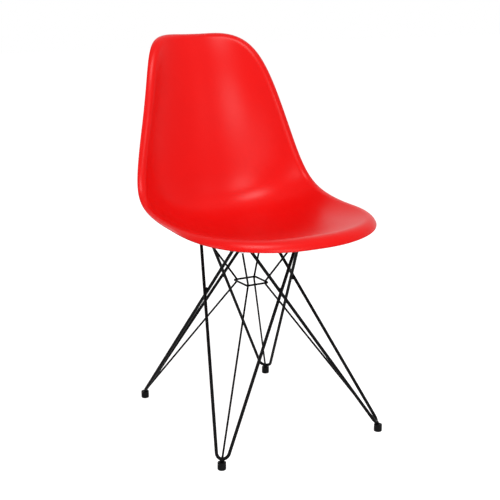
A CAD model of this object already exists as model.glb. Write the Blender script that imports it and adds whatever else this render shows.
"""Moulded plastic shell chair on a black welded wire base, dressed for its photograph.

Metres, +Z up, floor at z = 0. The chair faces -Y, and +X is on the right of someone looking at its front.
"""
import math

import bpy
import numpy as np
from mathutils import Matrix, Vector


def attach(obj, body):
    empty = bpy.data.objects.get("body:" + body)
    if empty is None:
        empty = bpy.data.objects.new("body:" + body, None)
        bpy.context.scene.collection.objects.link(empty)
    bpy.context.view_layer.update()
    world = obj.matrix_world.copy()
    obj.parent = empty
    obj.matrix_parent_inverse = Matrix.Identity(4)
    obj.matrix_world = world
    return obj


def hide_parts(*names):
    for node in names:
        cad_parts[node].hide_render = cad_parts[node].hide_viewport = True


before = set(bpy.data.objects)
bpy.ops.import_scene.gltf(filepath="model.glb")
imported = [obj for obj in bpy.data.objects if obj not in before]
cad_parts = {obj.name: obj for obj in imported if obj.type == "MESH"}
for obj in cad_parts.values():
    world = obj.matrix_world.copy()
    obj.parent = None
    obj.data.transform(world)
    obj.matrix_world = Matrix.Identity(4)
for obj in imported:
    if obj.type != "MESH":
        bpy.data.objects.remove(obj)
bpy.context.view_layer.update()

MM = 0.001
UP = Vector((0, 0, 1))


# Camera: the photograph is taken from the front left, a little above the top of the back.
# Its place and its lens come from the perspective of the shell and of the wires.
CAMERA_AZIMUTH = math.radians(-29.522)
CAMERA_ELEVATION = math.radians(14.215)
CAMERA_ROLL = math.radians(-0.258)
CAMERA_DISTANCE = 2.3542
AIM_HEIGHT = 0.368
IMAGE_SIZE = 500
SENSOR_WIDTH = 36
FOCAL_PIXELS = 1094.1
CENTRE_PIXEL = (250.1, 254.4)

camera_data = bpy.data.cameras.new("camera")
camera_data.sensor_width = SENSOR_WIDTH
camera_data.lens = FOCAL_PIXELS / IMAGE_SIZE * SENSOR_WIDTH
camera_data.shift_x = 0.5 - CENTRE_PIXEL[0] / IMAGE_SIZE
camera_data.shift_y = CENTRE_PIXEL[1] / IMAGE_SIZE - 0.5
camera = bpy.data.objects.new("camera", camera_data)
back = Vector((math.sin(CAMERA_AZIMUTH) * math.cos(CAMERA_ELEVATION),
               -math.cos(CAMERA_AZIMUTH) * math.cos(CAMERA_ELEVATION),
               math.sin(CAMERA_ELEVATION)))
right = Vector((math.cos(CAMERA_AZIMUTH), math.sin(CAMERA_AZIMUTH), 0))
facing = Matrix((right, back.cross(right), back)).transposed() @ Matrix.Rotation(CAMERA_ROLL, 3, "Z")
camera.matrix_world = Matrix.Translation(UP * AIM_HEIGHT + back * CAMERA_DISTANCE) @ facing.to_4x4()
bpy.context.scene.collection.objects.link(camera)
bpy.context.scene.camera = camera
bpy.context.scene.view_settings.view_transform = "Standard"


# Studio: a white floor that runs out into a white sky behind the chair, under soft lamps.
# The white is only what a lens, a gloss or a glass sees, and the floor keeps the chair's shadow.
FLOOR_HALF = 12.0
FLOOR_WHITE = (0.5, 0.5, 0.5, 1)
FLOOR_GLOW = 0.93
SKY_LIGHT = (0.24, 0.24, 0.24, 1)


def seen_background(tree):
    """1 for a ray that a lens, a gloss or a glass sends out, 0 for light that falls on things."""
    path = tree.nodes.new("ShaderNodeLightPath")
    seen = path.outputs["Is Camera Ray"]
    for ray in ("Is Glossy Ray", "Is Transmission Ray"):
        either = tree.nodes.new("ShaderNodeMath")
        either.operation = "MAXIMUM"
        tree.links.new(seen, either.inputs[0])
        tree.links.new(path.outputs[ray], either.inputs[1])
        seen = either.outputs[0]
    return seen


world = bpy.data.worlds.new("studio")
world.use_nodes = True
bpy.context.scene.world = world
tree = world.node_tree
daylight = tree.nodes["Background"]
daylight.inputs["Color"].default_value = SKY_LIGHT
white = tree.nodes.new("ShaderNodeBackground")
white.inputs["Color"].default_value = (1, 1, 1, 1)
choice = tree.nodes.new("ShaderNodeMixShader")
tree.links.new(seen_background(tree), choice.inputs["Fac"])
tree.links.new(daylight.outputs[0], choice.inputs[1])
tree.links.new(white.outputs[0], choice.inputs[2])
tree.links.new(choice.outputs[0], tree.nodes["World Output"].inputs["Surface"])

floor_finish = bpy.data.materials.new("white_floor")
floor_finish.use_nodes = True
tree = floor_finish.node_tree
tree.nodes.remove(tree.nodes["Principled BSDF"])
matt = tree.nodes.new("ShaderNodeBsdfDiffuse")
matt.inputs["Color"].default_value = FLOOR_WHITE
glow = tree.nodes.new("ShaderNodeEmission")
glow.inputs["Color"].default_value = (1, 1, 1, 1)
lift = tree.nodes.new("ShaderNodeMath")
lift.operation = "MULTIPLY"
lift.inputs[1].default_value = FLOOR_GLOW
tree.links.new(seen_background(tree), lift.inputs[0])
tree.links.new(lift.outputs[0], glow.inputs["Strength"])
both = tree.nodes.new("ShaderNodeAddShader")
tree.links.new(matt.outputs[0], both.inputs[0])
tree.links.new(glow.outputs[0], both.inputs[1])
tree.links.new(both.outputs[0], tree.nodes["Material Output"].inputs["Surface"])

floor_mesh = bpy.data.meshes.new("floor")
floor_mesh.from_pydata([(-FLOOR_HALF, -FLOOR_HALF, 0), (FLOOR_HALF, -FLOOR_HALF, 0),
                        (FLOOR_HALF, FLOOR_HALF, 0), (-FLOOR_HALF, FLOOR_HALF, 0)], [], [(0, 1, 2, 3)])
floor_mesh.materials.append(floor_finish)
floor = bpy.data.objects.new("floor", floor_mesh)
bpy.context.scene.collection.objects.link(floor)

# Each lamp: name, where it stands, its width and height, and its power in watts.
LAMPS = (
    ("front_softbox", (0.3, -2.3, 1.25), (0.7, 0.9), 14),
    ("top_softbox", (-0.1, -1.2, 2.7), (0.9, 0.9), 33),
    ("side_softbox", (-2.3, -0.8, 1.3), (0.8, 1.2), 15),
    ("low_softbox", (-0.4, -2.3, 0.2), (1.2, 0.4), 8),
    ("rear_softbox", (-1.3, 2.6, 1.2), (1.2, 1.2), 20),
)
LAMP_AIM = Vector((0, 0, 0.5))

for name, place, lamp_size, power in LAMPS:
    lamp_data = bpy.data.lights.new(name, "AREA")
    lamp_data.shape = "RECTANGLE"
    lamp_data.size, lamp_data.size_y = lamp_size
    lamp_data.energy = power
    lamp = bpy.data.objects.new(name, lamp_data)
    lamp.location = place
    lamp.rotation_euler = (LAMP_AIM - Vector(place)).to_track_quat("-Z", "Y").to_euler()
    bpy.context.scene.collection.objects.link(lamp)


# Legs: four hairpins of 7 mm steel rod, cold bent at the foot and welded where they cross and end.
# Powder coated black in one piece with the rest of the base: satin, with a faint orange peel.
ROD = 7.0 * MM
ROD_BEND = 14 * MM
FOOT_LEVEL = 16.0 * MM
FEET = {"front": (190 * MM, -218 * MM), "rear": (162 * MM, 212 * MM)}
PLATE_UNDERSIDE = {"front": 405 * MM, "rear": 395 * MM}
FACE_TOPS = {"front": (53.2 * MM, -97.4 * MM), "rear": (55.9 * MM, 85.5 * MM)}
SIDE_TOPS = {"front": (81.3 * MM, -72.4 * MM), "rear": (82.3 * MM, 67.5 * MM)}
SIDES = {"left": -1, "right": 1}
DEPTHS = {"front": -1, "rear": 1}
CORNERS = [(depth, side) for depth in DEPTHS for side in SIDES]
# How far a rod's end stands outside or inside its nominal place, to pass the rod that it crosses.
FACE_LAPS = {"front": 4.88 * MM, "rear": 5.18 * MM}
SIDE_LAP = 1.19 * MM
ROD_SEGMENTS = 20
BEND_STEPS = 14

COAT_BLACK = (0.002, 0.002, 0.0022, 1)
COAT_GREY = (0.0035, 0.0035, 0.004, 1)
GRAIN_DETAIL = 2
PATCH_DETAIL = 3
# Noise keeps to the middle of its range, and this part of it is spread over the whole range of gloss.
NOISE_LOW, NOISE_HIGH = 0.3, 0.7
# Places of a Mix node's two colours among its inputs, and of the mixed colour among its outputs.
MIX_FIRST, MIX_SECOND, MIX_RESULT = 6, 7, 2


def group_socket(tree, name, kind, direction, value=None):
    socket = tree.interface.new_socket(name=name, in_out=direction, socket_type=kind)
    if value is not None:
        socket.default_value = value


def surface_grain():
    """Shader group: a fine moulded or sprayed grain, with slow patches of more and less gloss."""
    tree = bpy.data.node_groups.new("surface_grain", "ShaderNodeTree")
    for name in ("Grain Size", "Patch Size", "Roughness Low", "Roughness High"):
        group_socket(tree, name, "NodeSocketFloat", "INPUT")
    for name in ("Height", "Roughness", "Patch"):
        group_socket(tree, name, "NodeSocketFloat", "OUTPUT")
    sizes = tree.nodes.new("NodeGroupInput")
    results = tree.nodes.new("NodeGroupOutput")
    place = tree.nodes.new("ShaderNodeTexCoord")

    def noise(size_name, detail):
        per_metre = tree.nodes.new("ShaderNodeMath")
        per_metre.operation = "DIVIDE"
        per_metre.inputs[0].default_value = 1
        tree.links.new(sizes.outputs[size_name], per_metre.inputs[1])
        texture = tree.nodes.new("ShaderNodeTexNoise")
        texture.inputs["Detail"].default_value = detail
        tree.links.new(place.outputs["Object"], texture.inputs["Vector"])
        tree.links.new(per_metre.outputs[0], texture.inputs["Scale"])
        return texture.outputs["Fac"]

    grain = noise("Grain Size", GRAIN_DETAIL)
    patch = noise("Patch Size", PATCH_DETAIL)
    gloss = tree.nodes.new("ShaderNodeMapRange")
    gloss.inputs["From Min"].default_value = NOISE_LOW
    gloss.inputs["From Max"].default_value = NOISE_HIGH
    tree.links.new(patch, gloss.inputs["Value"])
    tree.links.new(sizes.outputs["Roughness Low"], gloss.inputs["To Min"])
    tree.links.new(sizes.outputs["Roughness High"], gloss.inputs["To Max"])
    tree.links.new(grain, results.inputs["Height"])
    tree.links.new(gloss.outputs["Result"], results.inputs["Roughness"])
    tree.links.new(patch, results.inputs["Patch"])
    return tree


grain_group = surface_grain()


def finish(name, colour, patch_colour, grain, patch, roughness, bump, metallic=0.0, specular=0.5):
    """Material of one finish: two close colours in slow patches, and a grain of its own size."""
    material = bpy.data.materials.new(name)
    material.use_nodes = True
    tree = material.node_tree
    shader = tree.nodes["Principled BSDF"]
    shader.inputs["Metallic"].default_value = metallic
    shader.inputs["Specular IOR Level"].default_value = specular
    texture = tree.nodes.new("ShaderNodeGroup")
    texture.node_tree = grain_group
    texture.inputs["Grain Size"].default_value = grain
    texture.inputs["Patch Size"].default_value = patch
    texture.inputs["Roughness Low"].default_value = roughness[0]
    texture.inputs["Roughness High"].default_value = roughness[1]
    tint = tree.nodes.new("ShaderNodeMix")
    tint.data_type = "RGBA"
    tint.inputs[MIX_FIRST].default_value = colour
    tint.inputs[MIX_SECOND].default_value = patch_colour
    relief = tree.nodes.new("ShaderNodeBump")
    relief.inputs["Strength"].default_value = 1
    relief.inputs["Distance"].default_value = bump
    tree.links.new(texture.outputs["Patch"], tint.inputs[0])
    tree.links.new(tint.outputs[MIX_RESULT], shader.inputs["Base Color"])
    tree.links.new(texture.outputs["Roughness"], shader.inputs["Roughness"])
    tree.links.new(texture.outputs["Height"], relief.inputs["Height"])
    tree.links.new(relief.outputs["Normal"], shader.inputs["Normal"])
    return material


powder_coat = finish("black_powder_coat", COAT_BLACK, COAT_GREY, grain=1.6 * MM, patch=40 * MM,
                     roughness=(0.4, 0.52), bump=0.03 * MM, specular=0.06)


def bent_rod_tree():
    """Geometry Nodes: a round rod along the edges it is given, bent at their corners."""
    tree = bpy.data.node_groups.new("bent_rod", "GeometryNodeTree")
    group_socket(tree, "Geometry", "NodeSocketGeometry", "INPUT")
    group_socket(tree, "Diameter", "NodeSocketFloat", "INPUT", ROD)
    group_socket(tree, "Bend Radius", "NodeSocketFloat", "INPUT", ROD_BEND)
    group_socket(tree, "Material", "NodeSocketMaterial", "INPUT")
    group_socket(tree, "Geometry", "NodeSocketGeometry", "OUTPUT")
    given = tree.nodes.new("NodeGroupInput")
    result = tree.nodes.new("NodeGroupOutput")
    path = tree.nodes.new("GeometryNodeMeshToCurve")
    bends = tree.nodes.new("GeometryNodeFilletCurve")
    bends.mode = "POLY"
    bends.inputs["Limit Radius"].default_value = True
    bends.inputs["Count"].default_value = BEND_STEPS
    half = tree.nodes.new("ShaderNodeMath")
    half.operation = "MULTIPLY"
    half.inputs[1].default_value = 0.5
    section = tree.nodes.new("GeometryNodeCurvePrimitiveCircle")
    section.inputs["Resolution"].default_value = ROD_SEGMENTS
    rod = tree.nodes.new("GeometryNodeCurveToMesh")
    rod.inputs["Fill Caps"].default_value = True
    smooth = tree.nodes.new("GeometryNodeSetShadeSmooth")
    real = tree.nodes.new("GeometryNodeRealizeInstances")
    paint = tree.nodes.new("GeometryNodeSetMaterial")
    tree.links.new(given.outputs["Geometry"], path.inputs["Mesh"])
    tree.links.new(path.outputs["Curve"], bends.inputs["Curve"])
    tree.links.new(given.outputs["Bend Radius"], bends.inputs["Radius"])
    tree.links.new(given.outputs["Diameter"], half.inputs[0])
    tree.links.new(half.outputs[0], section.inputs["Radius"])
    tree.links.new(bends.outputs["Curve"], rod.inputs["Curve"])
    tree.links.new(section.outputs["Curve"], rod.inputs["Profile Curve"])
    tree.links.new(rod.outputs["Mesh"], smooth.inputs["Geometry"])
    tree.links.new(smooth.outputs["Geometry"], real.inputs["Geometry"])
    tree.links.new(real.outputs["Geometry"], paint.inputs["Geometry"])
    tree.links.new(given.outputs["Material"], paint.inputs["Material"])
    tree.links.new(paint.outputs["Geometry"], result.inputs["Geometry"])
    return tree


def grow(name, mesh, tree, **values):
    """Runs a Geometry Nodes tree on a mesh and returns the result as an object with a plain mesh."""
    item = bpy.data.objects.new(name, mesh)
    bpy.context.scene.collection.objects.link(item)
    nodes = item.modifiers.new(name, "NODES")
    nodes.node_group = tree
    for socket in tree.interface.items_tree:
        if socket.in_out == "INPUT" and socket.name in values:
            nodes[socket.identifier] = values[socket.name]
    grown = item.evaluated_get(bpy.context.evaluated_depsgraph_get())
    result = bpy.data.meshes.new_from_object(grown)
    item.modifiers.remove(nodes)
    item.data = result
    return item


def rod_along(name, points, diameter, bend, closed=False):
    mesh = bpy.data.meshes.new(name)
    edges = [(index, index + 1) for index in range(len(points) - 1)]
    if closed:
        edges.append((len(points) - 1, 0))
    mesh.from_pydata([tuple(point) for point in points], edges, [])
    values = {"Diameter": diameter, "Bend Radius": bend, "Material": powder_coat}
    return grow(name, mesh, bent_rod, **values)


def foot_point(depth, side):
    x, y = FEET[depth]
    return Vector((SIDES[side] * x, y, FOOT_LEVEL))


def leg_tops(depth, side):
    """Upper ends of this leg's two arms, each lapped past the arm that it crosses."""
    far = "rear" if depth == "front" else "front"
    face_x, face_y = FACE_TOPS[depth]
    side_x, side_y = SIDE_TOPS[far]
    face_lap = -SIDES[side] * DEPTHS[depth] * FACE_LAPS[depth]
    side_lap = -SIDES[side] * DEPTHS[depth] * SIDE_LAP
    across = Vector((-SIDES[side] * face_x, face_y + face_lap, PLATE_UNDERSIDE[depth]))
    along = Vector((SIDES[side] * side_x + side_lap, side_y, PLATE_UNDERSIDE[far]))
    return across, along


def bend_corner(middle, ends, radius):
    """Where the two straight arms would meet, below the middle of the bend between them."""
    towards = [(end - middle).normalized() for end in ends]
    inward = (towards[0] + towards[1]).normalized()
    half_opening = towards[0].angle(towards[1]) / 2
    return middle - inward * (radius / math.sin(half_opening) - radius)


bent_rod = bent_rod_tree()
legs = {}
for depth, side in CORNERS:
    node = f"leg_{depth}_{side}"
    tops = leg_tops(depth, side)
    corner = bend_corner(foot_point(depth, side), tops, ROD_BEND)
    leg = rod_along(f"{node}_rod", (tops[0], corner, tops[1]), ROD, ROD_BEND)
    legs[depth, side] = (tops, corner)
    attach(leg, "root")
    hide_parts(node)


# Struts: a thinner wire from each foot up to the waist, bent there and out again under its mount plate.
# The waist ring, one loop of the same wire, holds the four bends together.
WIRE = 4.4 * MM
STRUT_BEND = 8 * MM
WAIST_HEIGHT = 309.0 * MM
WAIST = {"front": (19.9 * MM, -26.0 * MM), "rear": (20.3 * MM, 19.2 * MM)}
STRUT_TOPS = {"front": (65.0 * MM, -80.5 * MM), "rear": (68.7 * MM, 64.7 * MM)}
RING_GAP = 0.1 * MM
RING_ORDER = (("front", "left"), ("front", "right"), ("rear", "right"), ("rear", "left"))


def strut_points(depth, side):
    waist = Vector((SIDES[side] * WAIST[depth][0], WAIST[depth][1], WAIST_HEIGHT))
    top = Vector((SIDES[side] * STRUT_TOPS[depth][0], STRUT_TOPS[depth][1], PLATE_UNDERSIDE[depth]))
    return foot_point(depth, side), waist, top


def waist_apex(depth, side):
    """The point of the strut's bend that is nearest to the chair's axis."""
    foot, waist, top = strut_points(depth, side)
    down = (foot - waist).normalized()
    rise = (top - waist).normalized()
    centre = waist + (down + rise).normalized() * (STRUT_BEND / math.sin(down.angle(rise) / 2))
    inward = Vector((waist.x - centre.x, waist.y - centre.y, 0)).normalized()
    return centre + inward * STRUT_BEND


for depth, side in CORNERS:
    node = f"strut_{depth}_{side}"
    strut = rod_along(f"{node}_wire", strut_points(depth, side), WIRE, STRUT_BEND)
    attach(strut, "root")
    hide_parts(node)

apexes = [waist_apex(*corner) for corner in RING_ORDER]
ring_level = sum(apex.z for apex in apexes) / len(apexes)
ring_bend = WIRE + RING_GAP
ring_corners = []
for index, apex in enumerate(apexes):
    before = (apex - apexes[index - 1]).normalized()
    after = (apexes[(index + 1) % len(apexes)] - apex).normalized()
    outward = (before - after).normalized()
    reach = ring_bend / math.cos(before.angle(after) / 2)
    ring_corners.append(Vector((apex.x, apex.y, ring_level)) + outward * reach)
ring = rod_along("waist_ring_wire", ring_corners, WIRE, ring_bend, closed=True)
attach(ring, "root")
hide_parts("waist_ring")


# Welds: a short bead of filler at every place where two rods meet, coated over with the rest.
# Crossings are bridged on both sides, and the ends are welded to their plates all round.
BEAD_SEGMENTS = 14
BEAD_RINGS = 18
# Radians of ripple over half a bead, which make about eight ridges on each.
BEAD_RIPPLES = 26.0
RIPPLE_DEPTH = 0.07
# Half the width, half the height and half the length of each kind of bead.
CROSS_BEAD = (2.4 * MM, 2.4 * MM, 5.0 * MM)
STRUT_BEAD = (4.4 * MM, 4.4 * MM, 3.4 * MM)
RING_BEAD = (1.8 * MM, 1.8 * MM, 2.6 * MM)
TOP_BEAD = (5.0 * MM, 5.0 * MM, 2.0 * MM)
STRUT_TOP_BEAD = (3.75 * MM, 3.75 * MM, 1.5 * MM)
# Distance of a crossing's two beads from its middle, as a share of the rod's diameter.
CROSS_BEAD_SHIFT = 0.3
# The pairs of legs that cross, with the arm that does: 0 on the front or rear face, 1 on a side.
CROSSINGS = (
    (("front", "left"), ("front", "right"), 0),
    (("rear", "left"), ("rear", "right"), 0),
    (("front", "left"), ("rear", "left"), 1),
    (("front", "right"), ("rear", "right"), 1),
)


def weld_tree():
    """Geometry Nodes: a rippled bead at each point, lengthwise along the point's own direction."""
    tree = bpy.data.node_groups.new("weld_beads", "GeometryNodeTree")
    group_socket(tree, "Geometry", "NodeSocketGeometry", "INPUT")
    group_socket(tree, "Ripples", "NodeSocketFloat", "INPUT", BEAD_RIPPLES)
    group_socket(tree, "Ripple Depth", "NodeSocketFloat", "INPUT", RIPPLE_DEPTH)
    group_socket(tree, "Material", "NodeSocketMaterial", "INPUT")
    group_socket(tree, "Geometry", "NodeSocketGeometry", "OUTPUT")
    given = tree.nodes.new("NodeGroupInput")
    result = tree.nodes.new("NodeGroupOutput")
    ball = tree.nodes.new("GeometryNodeMeshUVSphere")
    ball.inputs["Segments"].default_value = BEAD_SEGMENTS
    ball.inputs["Rings"].default_value = BEAD_RINGS
    place = tree.nodes.new("GeometryNodeInputPosition")
    axes = tree.nodes.new("ShaderNodeSeparateXYZ")
    turns = tree.nodes.new("ShaderNodeMath")
    turns.operation = "MULTIPLY"
    wave = tree.nodes.new("ShaderNodeMath")
    wave.operation = "SINE"
    swell = tree.nodes.new("ShaderNodeMath")
    swell.operation = "MULTIPLY"
    normal = tree.nodes.new("GeometryNodeInputNormal")
    push = tree.nodes.new("ShaderNodeVectorMath")
    push.operation = "SCALE"
    rippled = tree.nodes.new("GeometryNodeSetPosition")
    along = tree.nodes.new("GeometryNodeInputNamedAttribute")
    along.data_type = "FLOAT_VECTOR"
    along.inputs["Name"].default_value = "along"
    extent = tree.nodes.new("GeometryNodeInputNamedAttribute")
    extent.data_type = "FLOAT_VECTOR"
    extent.inputs["Name"].default_value = "extent"
    turn = tree.nodes.new("FunctionNodeAlignRotationToVector")
    turn.axis = "Z"
    spread = tree.nodes.new("GeometryNodeInstanceOnPoints")
    real = tree.nodes.new("GeometryNodeRealizeInstances")
    smooth = tree.nodes.new("GeometryNodeSetShadeSmooth")
    paint = tree.nodes.new("GeometryNodeSetMaterial")
    tree.links.new(place.outputs["Position"], axes.inputs[0])
    tree.links.new(axes.outputs["Z"], turns.inputs[0])
    tree.links.new(given.outputs["Ripples"], turns.inputs[1])
    tree.links.new(turns.outputs[0], wave.inputs[0])
    tree.links.new(wave.outputs[0], swell.inputs[0])
    tree.links.new(given.outputs["Ripple Depth"], swell.inputs[1])
    tree.links.new(normal.outputs["Normal"], push.inputs[0])
    tree.links.new(swell.outputs[0], push.inputs["Scale"])
    tree.links.new(ball.outputs["Mesh"], rippled.inputs["Geometry"])
    tree.links.new(push.outputs["Vector"], rippled.inputs["Offset"])
    tree.links.new(along.outputs["Attribute"], turn.inputs["Vector"])
    tree.links.new(given.outputs["Geometry"], spread.inputs["Points"])
    tree.links.new(rippled.outputs["Geometry"], spread.inputs["Instance"])
    tree.links.new(turn.outputs["Rotation"], spread.inputs["Rotation"])
    tree.links.new(extent.outputs["Attribute"], spread.inputs["Scale"])
    tree.links.new(spread.outputs["Instances"], smooth.inputs["Geometry"])
    tree.links.new(smooth.outputs["Geometry"], real.inputs["Geometry"])
    tree.links.new(real.outputs["Geometry"], paint.inputs["Geometry"])
    tree.links.new(given.outputs["Material"], paint.inputs["Material"])
    tree.links.new(paint.outputs["Geometry"], result.inputs["Geometry"])
    return tree


def closest_between(start_a, end_a, start_b, end_b):
    """Points of two lines where they pass nearest to each other."""
    run_a = end_a - start_a
    run_b = end_b - start_b
    normal = run_a.cross(run_b)
    share = (start_b - start_a).cross(run_b).dot(normal) / normal.length_squared
    other = (start_b - start_a).cross(run_a).dot(normal) / normal.length_squared
    return start_a + run_a * share, start_b + run_b * other


def crossing_beads(first, second, arm):
    """Two beads beside the crossing of two arms, in the narrow angles between them."""
    tops_a, corner_a = legs[first]
    tops_b, corner_b = legs[second]
    point_a, point_b = closest_between(corner_a, tops_a[arm], corner_b, tops_b[arm])
    run_a = (tops_a[arm] - corner_a).normalized()
    run_b = (tops_b[arm] - corner_b).normalized()
    if run_a.dot(run_b) < 0:
        run_b = -run_b
    middle = (point_a + point_b) / 2
    lengthwise = (run_a + run_b).normalized()
    offset = ROD * CROSS_BEAD_SHIFT
    return [(middle + lengthwise * offset, lengthwise, CROSS_BEAD),
            (middle - lengthwise * offset, lengthwise, CROSS_BEAD)]


beads = []
for crossing in CROSSINGS:
    beads += crossing_beads(*crossing)
for depth, side in CORNERS:
    foot, waist, top = strut_points(depth, side)
    tops, corner = legs[depth, side]
    rise = (waist - foot).normalized()
    beads.append((foot + rise * ROD / 2, rise, STRUT_BEAD))
    apex = waist_apex(depth, side)
    axis = Vector((apex.x, apex.y, 0)).normalized()
    beads.append((Vector((apex.x, apex.y, ring_level)) + axis * WIRE / 2, UP, RING_BEAD))
    beads.append((top, (top - waist).normalized(), STRUT_TOP_BEAD))
    for end in tops:
        beads.append((end, (end - corner).normalized(), TOP_BEAD))

bead_mesh = bpy.data.meshes.new("weld_points")
bead_mesh.from_pydata([tuple(place) for place, _, _ in beads], [], [])
for name, part in (("along", 1), ("extent", 2)):
    attribute = bead_mesh.attributes.new(name, "FLOAT_VECTOR", "POINT")
    attribute.data.foreach_set("vector", [number for bead in beads for number in bead[part]])
welds = grow("weld_beads", bead_mesh, weld_tree(),
             **{"Ripples": BEAD_RIPPLES, "Ripple Depth": RIPPLE_DEPTH, "Material": powder_coat})
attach(welds, "root")


# Feet: a moulded black cap pressed on a pin that is welded under each bend, the rod half in its top.
# Hard plastic, dull from the mould, with rounded edges and a fine groove round it at CAP_LINE.
CAP_RADIUS = 8.75 * MM
CAP_HEIGHT = 16.0 * MM
CAP_BORE_RADIUS = 3.0 * MM
CAP_FLOOR = 4.0 * MM
CAP_LOWER_EDGE = 2.0 * MM
CAP_UPPER_EDGE = 0.8 * MM
CAP_LINE = 11.0 * MM
CAP_LINE_WIDTH = 0.8 * MM
CAP_LINE_DEPTH = 0.3 * MM
TURN_STEPS = 48
EDGE_STEPS = 5
SHARP_ANGLE = math.radians(40)

foot_plastic = finish("black_foot_plastic", (0.002, 0.002, 0.0022, 1), (0.004, 0.004, 0.0044, 1),
                      grain=0.6 * MM, patch=12 * MM, roughness=(0.42, 0.55), bump=0.02 * MM, specular=0.08)


def rounded(corner, start, end, radius):
    """Points of a quarter round of this radius in a square corner, from the start's side to the end's."""
    corner = Vector(corner)
    to_start = (Vector(start) - corner).normalized()
    to_end = (Vector(end) - corner).normalized()
    centre = corner + (to_start + to_end) * radius
    points = []
    for step in range(EDGE_STEPS + 1):
        angle = math.pi / 2 * step / EDGE_STEPS
        points.append(centre - to_end * radius * math.cos(angle) - to_start * radius * math.sin(angle))
    return [tuple(point) for point in points]


def turned(mesh_name, profile, places):
    """Mesh turned at each place from (radius, height) points, which start and end on the axis."""
    vertices, faces = [], []
    for place in places:
        rings = []
        for radius, height in profile:
            if radius == 0:
                rings.append([len(vertices)])
                vertices.append((place[0], place[1], place[2] + height))
                continue
            rings.append(list(range(len(vertices), len(vertices) + TURN_STEPS)))
            for step in range(TURN_STEPS):
                angle = 2 * math.pi * step / TURN_STEPS
                vertices.append((place[0] + radius * math.cos(angle), place[1] + radius * math.sin(angle),
                                 place[2] + height))
        for lower, upper in zip(rings, rings[1:]):
            for step in range(TURN_STEPS):
                following = (step + 1) % TURN_STEPS
                if len(lower) == 1:
                    faces.append((lower[0], upper[following], upper[step]))
                elif len(upper) == 1:
                    faces.append((lower[step], lower[following], upper[0]))
                else:
                    faces.append((lower[step], lower[following], upper[following], upper[step]))
    mesh = bpy.data.meshes.new(mesh_name)
    mesh.from_pydata(vertices, [], faces)
    mesh.polygons.foreach_set("use_smooth", [True] * len(faces))
    return mesh


def add_piece(name, mesh, material, slot, *nodes):
    """Finished piece that rides the chair and stands for its CAD nodes."""
    mesh.materials.append(material)
    piece = bpy.data.objects.new(name, mesh)
    bpy.context.scene.collection.objects.link(piece)
    mesh.set_sharp_from_angle(angle=SHARP_ANGLE)
    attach(piece, "root")
    if nodes:
        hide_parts(*nodes)


line_low = CAP_LINE - CAP_LINE_WIDTH / 2
line_high = CAP_LINE + CAP_LINE_WIDTH / 2
cap_profile = [(0, 0)]
cap_profile += rounded((CAP_RADIUS, 0), (0, 0), (CAP_RADIUS, CAP_HEIGHT), CAP_LOWER_EDGE)
cap_profile += [(CAP_RADIUS, line_low), (CAP_RADIUS - CAP_LINE_DEPTH, CAP_LINE), (CAP_RADIUS, line_high)]
cap_profile += rounded((CAP_RADIUS, CAP_HEIGHT), (CAP_RADIUS, 0), (0, CAP_HEIGHT), CAP_UPPER_EDGE)
cap_profile += [(CAP_BORE_RADIUS, CAP_HEIGHT), (CAP_BORE_RADIUS, CAP_FLOOR), (0, CAP_FLOOR)]

for depth, side in CORNERS:
    node = f"foot_cap_{depth}_{side}"
    foot = foot_point(depth, side)
    cap_mesh = turned(node, cap_profile, [(foot.x, foot.y, 0)])
    add_piece(f"{node}_moulded", cap_mesh, foot_plastic, "foot_plastic", node)


# Pins and mount plates: turned and pressed steel, coated with the base.
# Their CAD solids are right as they are and only take the finish.
def dress(node, material):
    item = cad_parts[node]
    if not item.material_slots:
        item.data.materials.append(material)
    for slot in item.material_slots:
        slot.material = material


for depth, side in CORNERS:
    dress(f"foot_pin_{depth}_{side}", powder_coat)
    dress(f"mount_plate_{depth}_{side}", powder_coat)


# Fixings: a dull plastic spacer pad on each plate, and a zinc plated screw and washer
# up into a brass insert. They are under the seat, out of the photograph's sight.
pad_plastic = finish("black_pad_plastic", (0.016, 0.016, 0.017, 1), (0.024, 0.024, 0.025, 1),
                     grain=0.8 * MM, patch=15 * MM, roughness=(0.55, 0.7), bump=0.03 * MM)
zinc_plate = finish("zinc_plate", (0.56, 0.57, 0.58, 1), (0.46, 0.47, 0.5, 1),
                    grain=0.3 * MM, patch=4 * MM, roughness=(0.28, 0.42), bump=0.005 * MM, metallic=1.0)
insert_brass = finish("insert_brass", (0.72, 0.52, 0.22, 1), (0.62, 0.42, 0.16, 1),
                      grain=0.3 * MM, patch=4 * MM, roughness=(0.25, 0.4), bump=0.005 * MM, metallic=1.0)
for depth, side in CORNERS:
    dress(f"seat_pad_{depth}_{side}", pad_plastic)
dress("mount_screws", zinc_plate)
dress("screw_washers", zinc_plate)
dress("threaded_inserts", insert_brass)


# Seat: one shell of red polypropylene, injection moulded, with a lip rolled round its whole rim.
# It has a satin face with a very fine grain, and four bosses moulded under it.
SEAT_DATUM = 414 * MM
# Eight cross rows in millimetres, from the front edge to the top: y and rise of the middle,
# y and rise of the edge, and half the width. They are a fit to the shell's outline in the photograph.
SEAT_ROWS = {
    "front": (-238.4, 43.4, -244.6, 64.9, 202.6),
    "thigh": (-191.0, 35.8, -181.1, 56.0, 204.1),
    "seat": (-88.6, 13.3, -69.2, 49.3, 201.7),
    "hip": (60.1, -2.8, 54.6, 59.7, 200.9),
    "bend": (178.0, 26.5, 115.3, 91.3, 193.3),
    "lumbar": (176.7, 147.9, 140.0, 188.4, 168.0),
    "shoulder": (205.7, 316.2, 168.5, 336.8, 131.5),
    "crown": (244.2, 399.1, 199.3, 439.4, 132.0),
}
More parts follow.
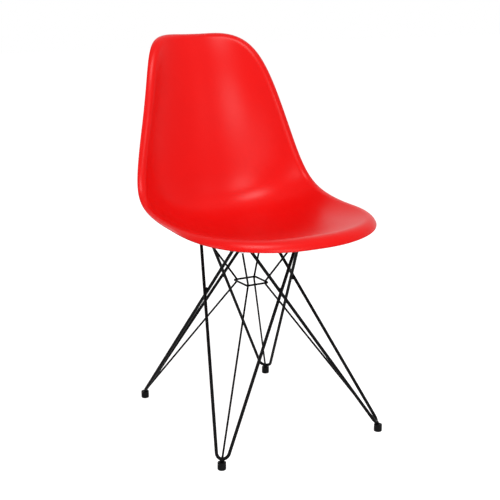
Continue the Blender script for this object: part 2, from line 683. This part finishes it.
# Seven columns: their share of the half width, and of the way from the middle to the edge.
COLUMNS = np.array((-1, -0.811, -0.374, 0, 0.374, 0.811, 1))
COLUMN_RISES = np.array((1, 0.43, -0.03, 0, -0.03, 0.43, 1))
FRONT_CORNER, FRONT_SQUARENESS = 0.226, 2.756
TOP_CORNER, TOP_SQUARENESS = 0.307, 4.536
WALL = 5.0 * MM
LIP_FRONT, LIP_SIDE, LIP_TOP = 26 * MM, 15 * MM, 18 * MM
LIP_FRONT_REACH, LIP_TOP_REACH, LIP_TAPER = 0.22, 0.2, 1.5
LIP_TURN = math.radians(88)
LIP_EDGE = 1.6 * MM
RIM_POINTS = 140
RIM_SAMPLES = 400
FACE_RINGS = 30
LIP_RINGS = 12
SPINE_START, SPINE_END = 0.14, 0.86
MIDDLE = 0.5
SPLINE_DEGREE = 3
# Just short of the end, where no span of knots is left to hold a place.
LAST_PLACE = 1 - 1e-9
SLOPE_STEP = 1e-4

seat_red = finish("red_polypropylene", (0.79, 0.0045, 0.0035, 1), (0.76, 0.0035, 0.003, 1), grain=1.8 * MM,
                  patch=90 * MM, roughness=(0.32, 0.36), bump=0.03 * MM, specular=0.18)


def spline_weights(places, count):
    """Weight of each of a clamped cubic's control points, at places from 0 to 1."""
    inner_knots = np.linspace(0, 1, count - SPLINE_DEGREE + 1)
    knots = np.concatenate(([0] * SPLINE_DEGREE, inner_knots, [1] * SPLINE_DEGREE))
    at = np.clip(places, 0, LAST_PLACE)[:, None]
    weights = ((knots[:-1] <= at) & (at < knots[1:])).astype(float)
    for degree in range(1, SPLINE_DEGREE + 1):
        span = knots[degree:] - knots[:-degree]
        span = np.where(span > 0, span, 1)
        up = (at - knots[:-degree - 1]) / span[:-1] * weights[:, :-1]
        down = (knots[degree + 1:] - at) / span[1:] * weights[:, 1:]
        weights = up + down
    return weights


def seat_poles():
    rows = np.array(list(SEAT_ROWS.values())) * MM
    mid_y, mid_z, edge_y, edge_z, half_width = rows.T[:, :, None]
    poles = np.empty((len(SEAT_ROWS), len(COLUMNS), 3))
    poles[:, :, 0] = half_width * COLUMNS
    poles[:, :, 1] = mid_y + (edge_y - mid_y) * COLUMN_RISES
    poles[:, :, 2] = SEAT_DATUM + mid_z + (edge_z - mid_z) * COLUMN_RISES
    return poles


poles = seat_poles()


def seat_points(places):
    """Points of the sitter's side, at (across, along) places from 0 to 1."""
    across = spline_weights(places[:, 0], len(COLUMNS))
    along = spline_weights(places[:, 1], len(SEAT_ROWS))
    return np.einsum("pi,pj,ijk->pk", along, across, poles)


def unit_rows(vectors):
    return vectors / np.linalg.norm(vectors, axis=1, keepdims=True)


def seat_normals(places):
    """Unit normals towards the sitter."""
    slopes = []
    for direction in ((SLOPE_STEP, 0), (0, SLOPE_STEP)):
        ahead = np.clip(places + direction, 0, 1)
        behind = np.clip(places - direction, 0, 1)
        slopes.append(seat_points(ahead) - seat_points(behind))
    return unit_rows(np.cross(*slopes))


def half_rim():
    """Right half of the rim, from the front middle to the top middle, evenly spaced on the surface."""
    angles = np.linspace(0, math.pi / 2, RIM_SAMPLES)
    straight = np.linspace(FRONT_CORNER, 1 - TOP_CORNER, RIM_SAMPLES)[1:-1]
    sine, cosine = np.sin(angles), np.abs(np.cos(angles))
    front_power, top_power = 2 / FRONT_SQUARENESS, 2 / TOP_SQUARENESS
    front = np.stack((sine ** front_power, FRONT_CORNER * (1 - cosine ** front_power)), axis=1)
    side = np.stack((np.ones_like(straight), straight), axis=1)
    top = np.stack((cosine ** top_power, 1 - TOP_CORNER * (1 - sine ** top_power)), axis=1)
    rim = np.concatenate((front, side, top))
    rim[:, 0] = (1 + rim[:, 0]) / 2
    lengths = np.concatenate(([0], np.cumsum(np.linalg.norm(np.diff(seat_points(rim), axis=0), axis=1))))
    wanted = np.linspace(0, lengths[-1], RIM_POINTS + 1)
    return np.stack([np.interp(wanted, lengths, rim[:, part]) for part in (0, 1)], axis=1)


def lip_radii(along):
    front = np.clip(1 - along / LIP_FRONT_REACH, 0, 1) ** LIP_TAPER * (LIP_FRONT - LIP_SIDE)
    top = np.clip(1 - (1 - along) / LIP_TOP_REACH, 0, 1) ** LIP_TAPER * (LIP_TOP - LIP_SIDE)
    return (LIP_SIDE + front + top)[:, None]


def shell_mesh():
    """Closed skin: face of the sitter's side, lip, rounded edge, back of the lip, underside."""
    right_half = half_rim()
    left_half = right_half[-2:0:-1] * (-1, 1) + (1, 0)
    rim = np.concatenate((right_half, left_half))
    count = len(rim)
    share = np.arange(RIM_POINTS + 1) / RIM_POINTS
    spine_share = (share + right_half[:, 1]) / 2
    spine_along = SPINE_START + (SPINE_END - SPINE_START) * spine_share
    spine = np.stack((np.full(RIM_POINTS + 1, MIDDLE), spine_along), axis=1)
    inner = np.concatenate((spine, spine[-2:0:-1]))

    rings = []
    for step in range(1, FACE_RINGS + 1):
        places = inner + (rim - inner) * step / FACE_RINGS
        rings.append((seat_points(places), seat_normals(places)))
    rim_points, normals = rings[-1]
    ahead = np.roll(rim_points, -1, axis=0) - np.roll(rim_points, 1, axis=0)
    outward = unit_rows(np.cross(ahead, normals))
    radii = lip_radii(rim[:, 1])
    centres = rim_points - normals * radii

    def lip_ring(radius, angle, beyond=0.0):
        towards = normals * np.cos(angle) + outward * np.sin(angle)
        onward = outward * np.cos(angle) - normals * np.sin(angle)
        return centres + towards * radius + onward * beyond

    edge_angle = LIP_TURN - LIP_EDGE / radii
    skin = [points for points, _ in rings]
    skin += [lip_ring(radii, edge_angle * step / LIP_RINGS) for step in range(1, LIP_RINGS + 1)]
    for step in range(1, EDGE_STEPS * 2):
        angle = math.pi * step / (EDGE_STEPS * 2)
        radius = radii - WALL / 2 + WALL / 2 * math.cos(angle)
        skin.append(lip_ring(radius, edge_angle, LIP_EDGE * math.sin(angle)))
    skin += [lip_ring(radii - WALL, edge_angle * step / LIP_RINGS) for step in range(LIP_RINGS, 0, -1)]
    skin += [points - towards * WALL for points, towards in reversed(rings)]

    spine_points = seat_points(spine)
    spine_under = spine_points - seat_normals(spine) * WALL
    vertices = np.concatenate([spine_points] + skin + [spine_under])
    first_ring = len(spine_points)
    under_start = first_ring + len(skin) * count

    def spine_index(step):
        return step if step <= RIM_POINTS else count - step

    faces = []
    for step in range(count):
        following = (step + 1) % count
        faces.append((spine_index(step), first_ring + step, first_ring + following, spine_index(following)))
        for ring in range(len(skin) - 1):
            start = first_ring + ring * count
            faces.append((start + step, start + count + step, start + count + following, start + following))
        last = under_start - count
        faces.append((last + step, under_start + spine_index(step), under_start + spine_index(following),
                      last + following))
    mesh = bpy.data.meshes.new("seat_shell")
    mesh.from_pydata(vertices.tolist(), [], faces)
    mesh.polygons.foreach_set("use_smooth", [True] * len(faces))
    return mesh


BOSS_RADIUS = 11.0 * MM
BOSS_ROOT = 4.0 * MM
INSERT_RADIUS = 4.5 * MM
INSERT_DEPTH = 9.5 * MM
PLATE_AND_PAD = 7.0 * MM
MOUNTS = {"front": (69.5 * MM, -89.5 * MM), "rear": (69.5 * MM, 75.5 * MM)}
BOSS_TOPS = {"front": 429.0 * MM, "rear": 420.5 * MM}


def boss_profile(height):
    """A boss from its open lower end to its root in the wall, flared there."""
    profile = [(0, INSERT_DEPTH), (INSERT_RADIUS, INSERT_DEPTH), (INSERT_RADIUS, 0), (BOSS_RADIUS, 0)]
    for step in range(EDGE_STEPS + 1):
        angle = math.pi / 2 * step / EDGE_STEPS
        outward = BOSS_ROOT * (1 - math.cos(angle))
        downward = BOSS_ROOT * (1 - math.sin(angle))
        profile.append((BOSS_RADIUS + outward, height - downward))
    profile.append((0, height))
    return profile


add_piece("seat_shell_moulded", shell_mesh(), seat_red, "seat_plastic", "seat_shell")
for depth, side in CORNERS:
    mount_x, mount_y = MOUNTS[depth]
    base = PLATE_UNDERSIDE[depth] + PLATE_AND_PAD
    boss_mesh = turned(f"seat_boss_{depth}_{side}", boss_profile(BOSS_TOPS[depth] - base),
                       [(SIDES[side] * mount_x, mount_y, base)])
    add_piece(f"seat_boss_{depth}_{side}_moulded", boss_mesh, seat_red, "seat_plastic")
